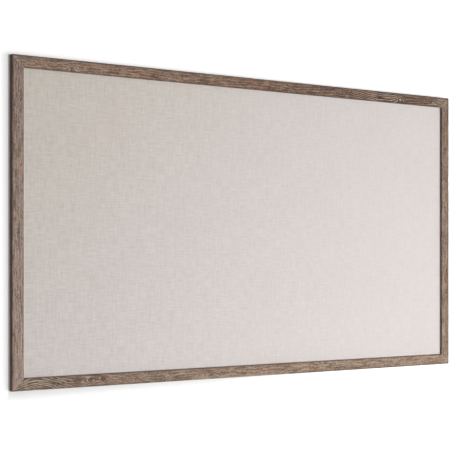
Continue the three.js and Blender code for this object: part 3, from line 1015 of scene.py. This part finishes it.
def framers_point(node):
    """The line runs from the round tip, which points to the panel's middle, straight into the wood."""
    low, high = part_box(node)
    middle = np.array((low + high) / 2)
    size = np.array(high - low)
    length_axis = int(np.argmax(size))
    side_axis = 2 - length_axis
    towards_middle = np.sign((middle_x, 0, middle_z)[length_axis] - middle[length_axis])
    line_axis = np.eye(3)[length_axis] * towards_middle
    places, widths = round_end(size[length_axis], size[side_axis] / 2, POINT_TIP)
    line = middle + (size[length_axis] / 2 - places)[:, None] * line_axis
    loop = strip_loop(np.maximum(widths, NARROWEST), size[1], SOFT_EDGE)
    return loops(f"{node}_steel", carry(line, np.eye(3)[side_axis], *loop))


def make_all(kind, make, slot, paint):
    """Makes and installs a piece for every modelled node whose name starts with the kind."""
    nodes = [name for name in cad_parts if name.startswith(kind)]
    for node in nodes:
        install(make(node), slot, paint, node)
    print(kind, "pieces made:", len(nodes))


make_all("framers_point", framers_point, "zinc_plated_steel", steel)

# %% [markdown]
# ## V-nails
#
# Two V-nails cross each mitre and pull it tight. They are driven from behind, so only their back edges show,
# as thin bright Vs. Each is a strip whose line is the V, with a small bend at its point, and whose width is
# the nail's height.

# %% Make the V-nails
NAIL_BEND = 0.9 * MM
NAIL_PROUD = 0.1 * MM
NAIL_STEEL = 0.5 * MM


def v_nail(node):
    """The line runs in along one leg, round a quarter circle and out along the other leg."""
    low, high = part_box(node)
    right_side = np.sign((low.x + high.x) / 2 - middle_x)
    upper_side = np.sign((low.z + high.z) / 2 - middle_z)
    leg = high.x - low.x - NAIL_STEEL
    turn = np.linspace(0, math.pi / 2, 7)
    legs_x = np.concatenate([[leg], NAIL_BEND * (1 - np.sin(turn)), [0]])
    legs_z = np.concatenate([[0], NAIL_BEND * (1 - np.cos(turn)), [leg]])
    corner_x = high.x - NAIL_STEEL / 2 if right_side > 0 else low.x + NAIL_STEEL / 2
    corner_z = high.z - NAIL_STEEL / 2 if upper_side > 0 else low.z + NAIL_STEEL / 2
    half_height = (high.y - low.y) / 2
    y = np.full(len(legs_x), wood_back + NAIL_PROUD - half_height)
    line = np.column_stack([corner_x - right_side * legs_x, y, corner_z - upper_side * legs_z])
    loop = strip_loop(np.full(len(line), half_height), NAIL_STEEL, SOFT_EDGE)
    return loops(f"{node}_steel", carry(line, (0, 1, 0), *loop))


make_all("v_nail", v_nail, "zinc_plated_steel", steel)

# %% [markdown]
# ## Strap hangers
#
# A strap hanger is one strip of steel, rolled round the straight side of a D-ring into a knuckle. The line of
# the strip says exactly that: straight up the wood, tangent into a circle round the hinge, and on until the
# strip's end nearly meets its own back. The ring is the only thing on the board that moves, so it rides on a
# body of its own. It leans forward from the hinge until it rests against the wood, but for a hair.

# %% Roll the straps and bend the rings
STRAP = 0.75 * MM
STRAP_CORNER = 4 * MM
ROLL = math.radians(298)
WIRE_RADIUS = 1 * MM
RING_CORNER = 2.5 * MM
RING_SPARE = 0.01 * MM


def strap(node):
    """Up the wood, and then y = - radius x cos(angle) and z = radius x sin(angle) from the hinge."""
    low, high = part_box(node)
    radius = (high.y - low.y - STRAP) / 2
    hinge = np.array([(low.x + high.x) / 2, (low.y + high.y) / 2, high.z - (high.y - low.y) / 2])
    places, widths = round_end(hinge[2] - low.z, (high.x - low.x) / 2, STRAP_CORNER)
    angle = np.linspace(0, ROLL, 40)[1:]
    y = np.concatenate([np.full(len(places), -radius), -radius * np.cos(angle)])
    z = np.concatenate([places - (hinge[2] - low.z), radius * np.sin(angle)])
    line = hinge + np.column_stack([np.zeros_like(y), y, z])
    widths = np.concatenate([widths, np.full(len(angle), widths[-1])])
    return loops(f"{node}_zinc", carry(line, (1, 0, 0), *strip_loop(widths, STRAP, SOFT_EDGE))), hinge


def d_ring(node, hinge):
    """The wire's line: a straight bar on the hinge, two small corners, straight sides and a half circle."""
    low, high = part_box(node)
    side = (high.x - low.x) / 2 - WIRE_RADIUS
    rise = high.z - hinge[2] - WIRE_RADIUS
    forward = hinge[1] - WIRE_RADIUS - low.y
    lean = math.atan2(forward - RING_SPARE, rise)
    reach = math.hypot(rise, forward)
    turn = np.linspace(0, math.pi / 2, 10)
    corner_x = side - RING_CORNER + RING_CORNER * np.sin(turn)
    corner_z = RING_CORNER * (1 - np.cos(turn))
    bow = np.linspace(0, math.pi, 49)
    bow_x, bow_z = side * np.cos(bow), reach - side + side * np.sin(bow)
    bar = np.linspace(-1, 1, 8)[1:-1] * (side - RING_CORNER)
    x = np.concatenate([bar, corner_x, bow_x, -corner_x[::-1]])
    up = np.concatenate([np.zeros_like(bar), corner_z, bow_z, corner_z[::-1]])
    line = hinge + np.column_stack([x, -up * math.sin(lean), up * math.cos(lean)])
    angle = np.linspace(0, TAU, 20, endpoint=False)[None]
    loop = np.repeat([WIRE_RADIUS * np.cos(angle), WIRE_RADIUS * np.sin(angle)], len(line), axis=1)
    axis = (0, math.cos(lean), math.sin(lean))
    return loops(f"{node}_zinc", carry(line, axis, *loop, ring=True), ring=True), math.degrees(lean)


for side_name in ("left", "right"):
    piece, hinge = strap(f"hanger_strap_{side_name}")
    install(piece, "zinc_plated_steel", zinc, f"hanger_strap_{side_name}")
    piece, lean = d_ring(f"hanger_ring_{side_name}", hinge)
    install(piece, "zinc_plated_steel", zinc, f"hanger_ring_{side_name}", rides=f"ring_{side_name}")
    print(side_name, "hinge at", np.round(hinge, 5), "and the ring leans", round(lean, 2), "degrees")


# %% [markdown]
# ## Screws and bumpers
#
# Both are turned shapes: a profile of radius and height, carried round a line. The cross in a screw's head
# isn't turned. On a turned head its straight edges would cut across the rings of points and come out ragged,
# so the crown is a square grid instead, whose lines lie on the edges of the cross. Further out the grid's
# squares swell into circles, and its border meets the turned rim.

# %% Carry a profile round
def turned(name, centre, radius, height, around, crown=None):
    """Rows of points: x and z are the radius times the directions around, and y is the height."""
    x, z = radius[:, None] * around.T[:, None]
    rows = np.stack([x, height[:, None] + 0 * x, z], -1)
    faces = quads(*rows.shape[:2])
    if crown is not None:
        faces = np.concatenate([faces, quads(*crown.shape[:2], close_columns=False) + rows.size // 3])
        rows = np.concatenate([rows.reshape(-1, 3), crown.reshape(-1, 3)])
    return body(name, np.array(centre) + rows, faces.tolist(), smooth_below=40)


print("pieces to turn:", sum(name.startswith(("hanger_screw", "wall_bumper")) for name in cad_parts))

# %% Turn the screws
SCREW_RIM = 0.5 * MM
SHANK_RADIUS = 1.5 * MM
TIP_RADIUS = 0.2 * MM
SCREW_TIP = 3 * MM
HEAD_HEIGHT = 1.6 * MM
CROSS_REACH = 1.65 * MM
CROSS_HALF = 0.42 * MM
CROSS_DEPTH = 0.8 * MM
CROSS_SLOPE = 0.16 * MM
CROWN_SQUARE = 1.8 * MM
CROWN_SIDE = 2.3 * MM


def cross(x, z):
    """The depth of the deeper arm: its full depth times a ramp from its end and a ramp from its flank."""
    def arm(lengthwise, sideways):
        ends = np.clip((CROSS_REACH - np.abs(lengthwise)) / CROSS_SLOPE, 0, 1)
        return ends * np.clip((CROSS_HALF - np.abs(sideways)) / CROSS_SLOPE, 0, 1)

    return CROSS_DEPTH * np.maximum(arm(x, z), arm(z, x))


def screw_crown(head):
    """A square grid, its points moved towards the circle of the head by their share of the way to the border.

    The height is that of a flattened half ball, less the cross.
    """
    arm_edges = [0, CROSS_HALF - CROSS_SLOPE, CROSS_HALF, CROSS_REACH - CROSS_SLOPE, CROSS_REACH]
    edges = [*arm_edges, CROWN_SQUARE, CROWN_SIDE]
    half = np.concatenate([np.linspace(a, b, 4)[:-1] for a, b in zip(edges, edges[1:])] + [[CROWN_SIDE]])
    line = np.concatenate([-half[:0:-1], half])
    x, z = np.meshgrid(line, line)
    outward = np.clip((np.maximum(np.abs(x), np.abs(z)) - CROWN_SQUARE) / (CROWN_SIDE - CROWN_SQUARE), 0, 1)
    stretch = 1 + outward * (head / np.maximum(np.hypot(x, z), SCREW_RIM) - 1)
    x, z = x * stretch, z * stretch
    dome = np.sqrt(np.clip(1 - (x**2 + z**2) / head**2, 0, 1))
    return np.stack([x, (HEAD_HEIGHT - SCREW_RIM) * (dome - 1) - cross(x, z), z], -1)


def pan_head_screw(node):
    """The profile runs from the tip up the shank, out under the head and round its rim, to the crown."""
    low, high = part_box(node)
    head, tall = (high.x - low.x) / 2, high.y - low.y
    crown = screw_crown(head)
    rim = border(np.arange(crown.size // 3).reshape(crown.shape[:2]))
    around = crown.reshape(-1, 3)[rim][:, [0, 2]] / head
    radius = np.array([0, TIP_RADIUS, SHANK_RADIUS, SHANK_RADIUS, head, head])
    height = np.array([-tall, -tall, SCREW_TIP - tall, -HEAD_HEIGHT, -HEAD_HEIGHT, SCREW_RIM - HEAD_HEIGHT])
    centre = ((low.x + high.x) / 2, high.y, (low.z + high.z) / 2)
    return turned(f"{node}_zinc", centre, radius, height, around, crown)


make_all("hanger_screw", pan_head_screw, "zinc_plated_steel", zinc)

# %% Turn the bumpers
BUMPER_FOOT = 0.3 * MM
BUMPER_TAPER = 0.75 * MM
BUMPER_ROUND = 0.7 * MM
BUMPER_DIMPLE = 0.25 * MM


def bumper(node):
    """A cone with a flat base and a round edge. A shallow dimple, half a cosine wave deep, is in its face."""
    low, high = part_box(node)
    base, tall = (high.x - low.x) / 2, high.y - low.y
    flat = base - BUMPER_TAPER - BUMPER_ROUND
    turn = np.linspace(0, math.pi / 2, 8)
    edge_radius = flat + BUMPER_ROUND * np.cos(turn)
    edge_height = tall - BUMPER_ROUND + BUMPER_ROUND * np.sin(turn)
    inner = np.linspace(1, 0, 12)[1:]
    face_height = tall - BUMPER_DIMPLE * 0.5 * (1 - np.cos(math.pi * np.clip((1 - inner) * 2, 0, 1)))
    radius = np.concatenate([[0, base - BUMPER_FOOT, base], edge_radius, flat * inner])
    height = np.concatenate([[0, 0, BUMPER_FOOT], edge_height, face_height])
    centre = ((low.x + high.x) / 2, low.y, (low.z + high.z) / 2)
    angle = np.linspace(0, TAU, 64, endpoint=False)
    around = np.column_stack([np.cos(angle), np.sin(angle)])
    return turned(f"{node}_rubber", centre, radius, height, around)


make_all("wall_bumper", bumper, "black_rubber", rubber)

# %% [markdown]
# ## The wall
#
# The board hangs on a white wall, over a pale floor. To the camera the wall glows a little by itself, so that
# it reads as white paper, but not where the board's soft shadow lies, which the lamps cast and which would be
# washed out. The mask that says where it glows also paints shadow: the glow stops beyond a thin strip beside
# the board, and below the board beyond a strip that is wide at the left and thin at the right, so these
# strips are partly painted shadow. A strip just above the board glows slightly brighter, as painted light
# that washes out the shadow there. Seen from behind the wall isn't there, and light passes it that way,
# because the back of the board has to be seen too.

# %% Say where the wall glows
WALL_GLOW = 0.39
WHITE = (1, 1, 1)
BLACK = (0, 0, 0)
PAINTED_LIGHT = (1.28, 1.28, 1.28)
THIN_STRIP = (0, 5 * MM)
OVER_TOP = (0, 2 * MM)

wall_paint = Paint("white_wall", Roughness=1.0, Emission_Strength=WALL_GLOW)
wall_paint.set("Specular IOR Level", 0)
wall_paint.set("Base Color", (0.9, 0.9, 0.9, 1))
x, _, z = wall_paint.split(wall_paint.here())
below, above = bottom - z, z - top
to_the_sides = (left - x).at_least(x - right)
# Below the board the strips beside it are wider.
aside = to_the_sides * (1 - below.between(0, 30 * MM) * 0.88)
outside_painted_shadow_aside = aside.between(*THIN_STRIP)
# Distances below the board count more towards the right, so the painted shadow is thinner there.
outside_painted_shadow_below = (below * (x.between(-0.2, 0.8) * 11 + 0.75)).between(0, 38 * MM)
# Painted shadow: the glow is held back in strips beside and below the board.
outside_painted_shadow = outside_painted_shadow_aside.at_least(above.between(*OVER_TOP)).at_least(outside_painted_shadow_below)
glow = wall_paint.looked_at() * outside_painted_shadow
# Painted light: a strip just above the board glows brighter and washes out the shadow there.
painted_light_above = above.between(*OVER_TOP) * above.between(14 * MM, 3 * MM) * (1 - outside_painted_shadow_aside)
glow_colour = wall_paint.blend(glow, BLACK, wall_paint.blend(painted_light_above, WHITE, PAINTED_LIGHT))
wall_paint.set("Emission Color", glow_colour)
from_behind = wall_paint.add("ShaderNodeNewGeometry", output="Backfacing")
passing_light = wall_paint.add("ShaderNodeLightPath", output="Is Shadow Ray")
wall_paint.set("Alpha", (1 - from_behind) * (1 - passing_light))
print("the wall glows by", WALL_GLOW)

# %% [markdown]
# The floor glows to the camera too, a little more than the wall, and otherwise lies there as any pale floor
# would, so the board throws its shadow on it. Both are flat sheets and stage, not pieces of the board.

# %% Put up the wall and lay the floor
FLOOR_BELOW = 0.9
FLOOR_GLOW = 0.62
FLOOR_RAMP = [(0.3, (0.79, 0.785, 0.78)), (0.7, (0.82, 0.815, 0.81))]
ROOM = 8


def plane(name, corners, paint):
    """Stands on the stage, facing the side from which its corners run against the clock."""
    piece = body(name, np.array(corners, float), [[0, 1, 2, 3]])
    piece.data.materials.append(paint.material)
    print(name, "faces", tuple(piece.data.polygons[0].normal))


floor_paint = Paint("pale_floor", Roughness=0.9, Emission_Strength=FLOOR_GLOW)
speckle = floor_paint.noise(floor_paint.here(), (40, 40, 40), 1, 3)
floor_paint.set("Base Color", floor_paint.ramp(speckle, FLOOR_RAMP))
floor_paint.set("Emission Color", floor_paint.blend(floor_paint.looked_at(), BLACK, WHITE))

floor_z = bottom - FLOOR_BELOW
skirting = [(-ROOM, 0, floor_z), (ROOM, 0, floor_z)]
plane("wall", [*skirting, (ROOM, 0, ROOM), (-ROOM, 0, ROOM)], wall_paint)
near = [(-ROOM, -ROOM, floor_z), (ROOM, -ROOM, floor_z)]
plane("floor", [*near, (ROOM, ROOM, floor_z), (-ROOM, ROOM, floor_z)], floor_paint)

# %% [markdown]
# ## The light
#
# A large soft lamp stands to the right and in front, as the board's shading and its shadow on the wall show.
# A weak one fills from the left, and one behind the wall is for the back. The world is white to the camera
# and to metal, and otherwise a soft grey light from all sides.

# %% Light the studio
AMBIENT = 0.28


def lamp(name, place, size, power):
    """A round lamp that points at the board's middle, with its size in metres and its power in watts."""
    data = bpy.data.lights.new(name, "AREA")
    data.shape = "DISK"
    data.size, data.energy = size, power
    piece = bpy.data.objects.new(name, data)
    piece.location = place
    aim = Vector((middle_x, front, middle_z)) - Vector(place)
    piece.rotation_euler = aim.to_track_quat("-Z", "Y").to_euler()
    scene.collection.objects.link(piece)


lamp("key", (2.7, -3.0, -0.6), 1.6, 74)
lamp("fill", (0.2, -2.4, -1.4), 1.8, 33)
lamp("back", (0.2, 2.6, 0.3), 1.4, 50)

scene.world = bpy.data.worlds.new("studio")
sky = Graph(scene.world, "Background")
sky.set("Strength", sky.looked_at() * (1 - AMBIENT) + AMBIENT)
sky.set("Color", (1, 1, 1, 1))
